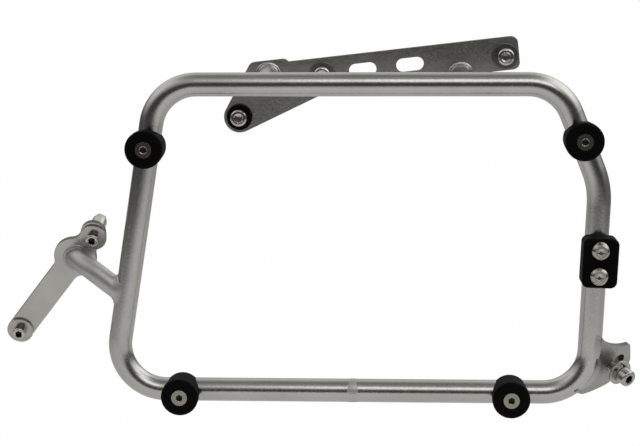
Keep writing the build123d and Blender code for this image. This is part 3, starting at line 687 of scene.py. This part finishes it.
# Points of the sheet's root between two levels, each with its share of the way
def rootPoints(low, high):
    shares = [(i + 0.5) / gusset["steps"] for i in range(gusset["steps"])]
    points = []
    for share in shares:
        level = low + (high - low) * share
        points.append((share, gussetOrigin + gussetUp * level + gussetAway * rootOf(level)))
    return points


bm = bmesh.new()
for face, span in ((1, gusset["front"]), (-1, gusset["back"])):
    rows, legs = [], []
    for share, middle in rootPoints(*span):
        corner = middle + braceOut * gusset["half"] * face
        point = skinBetween(corner, corner + gussetAway * gusset["search"], outOfBend)
        rows.append((point, braceOut * face, slopeOf(outOfBend, point)))
        legs.append(gusset["leg"] * sqrt(sin(pi * share)))
    addBead(bm, rows, False, legs, outOfBend)
rows, legs = [], []
thin, thick = gusset["rootTaper"]
for share, middle in rootPoints(*gusset["root"]):
    through = braceOut * gusset["half"]
    point = skinBetween(middle - through, middle + through, outOfBend)
    rows.append((point, -gussetAway, slopeOf(outOfBend, point)))
    legs.append(gusset["rootLeg"] * sqrt(sin(pi * (thin + (thick - thin) * share))))
addBead(bm, rows, False, legs, outOfBend)
addPiece("gusset_welds", bm, "bead", finish=blastedTube)
print("weld beads laid")


# Stands there and looks at the target, turned about its line of sight by the roll
def lookAt(place, target, roll=0.0):
    sight = (target - place).to_track_quat("-Z", "Y").to_matrix() @ Matrix.Rotation(roll, 3, "Z")
    return Matrix.Translation(place) @ sight.to_4x4()


# Camera at the photograph's viewpoint, a little above the frame's top
cameraPlan = {
    "place": Vector((0.1142, -1.1350, 0.1318)), "aim": Vector((0.0652, -0.0557, -0.0747)),
    "roll": radians(-0.29), "focalPixels": 1450, "imageWidth": 640, "sensor": 36,
}
cameraData = bpy.data.cameras.new("camera")
cameraData.sensor_width = cameraPlan["sensor"]
cameraData.lens = cameraPlan["focalPixels"] / cameraPlan["imageWidth"] * cameraPlan["sensor"]
camera = bpy.data.objects.new("camera", cameraData)
scene.collection.objects.link(camera)
camera.matrix_world = lookAt(cameraPlan["place"], cameraPlan["aim"], cameraPlan["roll"])
scene.camera = camera

# Pale floor close below the frame: it glows white to the lens, and to the steel it glows as a painted pool
# of light, brightest in front of the frame and dimming away from there, most towards its right and front
# edges
floorPlan = {
    "level": cadLow.z - 0.085, "left": -2.4, "right": 1.45, "front": -1.5, "back": 3.2,
    "brightX": 0.1, "brightY": -0.85, "near": 0.25, "far": 1.5, "bright": 0.87, "dim": 0.52,
    "fadeRight": 0.5, "fadeFront": 0.95, "edge": 0.2, "glowShare": 0.985,
}
bm = bmesh.new()
bmesh.ops.create_grid(bm, x_segments=1, y_segments=1, size=0.5)
bmesh.ops.scale(bm, verts=bm.verts, vec=(
    floorPlan["right"] - floorPlan["left"], floorPlan["back"] - floorPlan["front"], 1,
))
bmesh.ops.translate(bm, verts=bm.verts, vec=(
    (floorPlan["right"] + floorPlan["left"]) / 2, (floorPlan["back"] + floorPlan["front"]) / 2,
    floorPlan["level"],
))
floorMesh = bpy.data.meshes.new("floor")
bm.to_mesh(floorMesh)
bm.free()
floor = bpy.data.objects.new("floor", floorMesh)
scene.collection.objects.link(floor)
floorPaint = bpy.data.materials.new("whiteFloorPaintAndGlow")
floorPaint.use_nodes = True
tree = floorPaint.node_tree
rays = addNode(tree, "ShaderNodeLightPath")
place = addNode(tree, "ShaderNodeTexCoord").outputs["Object"]
spot = addNode(tree, "ShaderNodeVectorMath", {
    0: place, 1: (floorPlan["brightX"], floorPlan["brightY"], floorPlan["level"]),
}, operation="DISTANCE")
faded = addNode(tree, "ShaderNodeMapRange", {
    0: spot.outputs["Value"], 1: floorPlan["near"], 2: floorPlan["far"],
    3: floorPlan["bright"], 4: floorPlan["dim"],
}).outputs[0]
ground = addNode(tree, "ShaderNodeSeparateXYZ", {0: place})
for axis, edge, fade in (
    ("X", floorPlan["right"], -floorPlan["fadeRight"]), ("Y", floorPlan["front"], floorPlan["fadeFront"]),
):
    inside = addNode(tree, "ShaderNodeMapRange", {
        0: ground.outputs[axis], 1: edge, 2: edge + fade, 3: floorPlan["edge"],
    })
    faded = addNode(tree, "ShaderNodeMath", {
        0: faded, 1: inside.outputs[0],
    }, operation="MULTIPLY").outputs[0]
level = addNode(tree, "ShaderNodeMath", {
    0: rays.outputs["Is Camera Ray"], 1: faded,
}, operation="MAXIMUM")
seen = addNode(tree, "ShaderNodeMath", {
    0: rays.outputs["Is Camera Ray"], 1: rays.outputs["Is Glossy Ray"],
}, operation="MAXIMUM")
share = addNode(tree, "ShaderNodeMath", {
    0: seen.outputs[0], 1: floorPlan["glowShare"],
}, operation="MULTIPLY")
paint = addNode(tree, "ShaderNodeBsdfDiffuse", {"Color": linear("#f2f2f0")})
# the floor's glow, a painted pool of light in the reflections
glow = addNode(tree, "ShaderNodeEmission", {"Color": linear("#ffffff"), "Strength": level.outputs[0]})
mixed = addNode(tree, "ShaderNodeMixShader", {0: share.outputs[0], 1: paint.outputs[0], 2: glow.outputs[0]})
tree.links.new(mixed.outputs[0], tree.nodes["Material Output"].inputs["Surface"])
tree.nodes.remove(tree.nodes["Principled BSDF"])
floorMesh.materials.append(floorPaint)

# Studio round the frame: dim behind the lens and brighter overhead, a pale wall behind the frame.
# The steps are elevations in degrees with their levels
studioSteps = {
    "front": [
        (-90, 0.2), (-20, 0.14), (-8, 0.08), (4, 0.06), (17, 0.08), (27, 0.35), (40, 0.55), (56, 0.5),
        (72, 0.32), (90, 0.28),
    ],
    "back": [
        (-90, 0.35), (-10, 0.45), (8, 0.45), (22, 0.72), (45, 0.82), (58, 0.74), (75, 0.42), (90, 0.28),
    ],
    "ends": [
        (-90, 0.1), (-5, 0.1), (6, 0.1), (18, 0.55), (32, 1.0), (55, 0.9), (75, 0.35), (90, 0.2),
    ],
}
# where one side passes into the next, as parts of the direction's Y and X, and how strong the ends are
studioBlend = {"wall": (-0.3, 0.3), "beside": (-0.75, -0.2), "end": (0.15, 0.6), "right": 1.8, "left": 1.0}
world = bpy.data.worlds.new("studio")
world.use_nodes = True
scene.world = world
tree = world.node_tree
direction = addNode(tree, "ShaderNodeSeparateXYZ", {
    0: addNode(tree, "ShaderNodeTexCoord").outputs["Generated"],
}).outputs
height = addNode(tree, "ShaderNodeMapRange", {0: direction["Z"], 1: -1.0, 2: 1.0})
sides = {}
for side, steps in studioSteps.items():
    node = addNode(tree, "ShaderNodeValToRGB", {0: height.outputs[0]})
    ramp = node.color_ramp
    ramp.interpolation = "LINEAR"
    while len(ramp.elements) < len(steps):
        ramp.elements.new(1.0)
    for element, (degrees, level) in zip(ramp.elements, steps):
        element.position = (sin(radians(degrees)) + 1) / 2
        element.color = (level, level, level, 1.0)  # a ramp holds no more than 1
    sides[side] = node.outputs[0]
wall = addNode(tree, "ShaderNodeMapRange", {
    0: direction["Y"], 1: studioBlend["wall"][0], 2: studioBlend["wall"][1],
}, interpolation_type="SMOOTHSTEP")
room = addNode(tree, "ShaderNodeMix", {
    0: wall.outputs[0], 6: sides["front"], 7: sides["back"],
}, data_type="RGBA").outputs[2]
# the two ends of the room are lit more, the right one most
beside = addNode(tree, "ShaderNodeMapRange", {
    0: direction["Y"], 1: studioBlend["beside"][0], 2: studioBlend["beside"][1],
}, interpolation_type="SMOOTHSTEP")
for sign, strength in ((1, studioBlend["right"]), (-1, studioBlend["left"])):
    share = addNode(tree, "ShaderNodeMapRange", {
        0: direction["X"], 1: sign * studioBlend["end"][0], 2: sign * studioBlend["end"][1],
        4: beside.outputs[0],
    }, interpolation_type="SMOOTHSTEP")
    lit = addNode(tree, "ShaderNodeVectorMath", {0: sides["ends"], "Scale": strength}, operation="SCALE")
    room = addNode(tree, "ShaderNodeMix", {
        0: share.outputs[0], 6: room, 7: lit.outputs[0],
    }, data_type="RGBA").outputs[2]
rays = addNode(tree, "ShaderNodeLightPath")
surround = addNode(tree, "ShaderNodeBackground", {"Color": room, "Strength": 1.0})
backdrop = addNode(tree, "ShaderNodeBackground", {"Color": linear("#ffffff"), "Strength": 1.0})
mixed = addNode(tree, "ShaderNodeMixShader", {
    0: rays.outputs["Is Camera Ray"], 1: surround.outputs[0], 2: backdrop.outputs[0],
})
tree.links.new(mixed.outputs[0], tree.nodes["World Output"].inputs["Surface"])

# Long soft box, high in front of the frame and towards its rear
softBox = {
    "middle": Vector((0.9, -2.3, 1.9)), "facing": Vector((0.9, 0, 0)), "length": 2.2, "depth": 1.3,
    "watts": 11.0,
}
lampData = bpy.data.lights.new("softBox", "AREA")
lampData.shape = "RECTANGLE"
lampData.size = softBox["length"]
lampData.size_y = softBox["depth"]
lampData.energy = softBox["watts"]
lamp = bpy.data.objects.new("softBox", lampData)
scene.collection.objects.link(lamp)
lamp.matrix_world = lookAt(softBox["middle"], softBox["facing"])
scene.view_settings.view_transform = "Standard"
print("camera, floor and studio set")
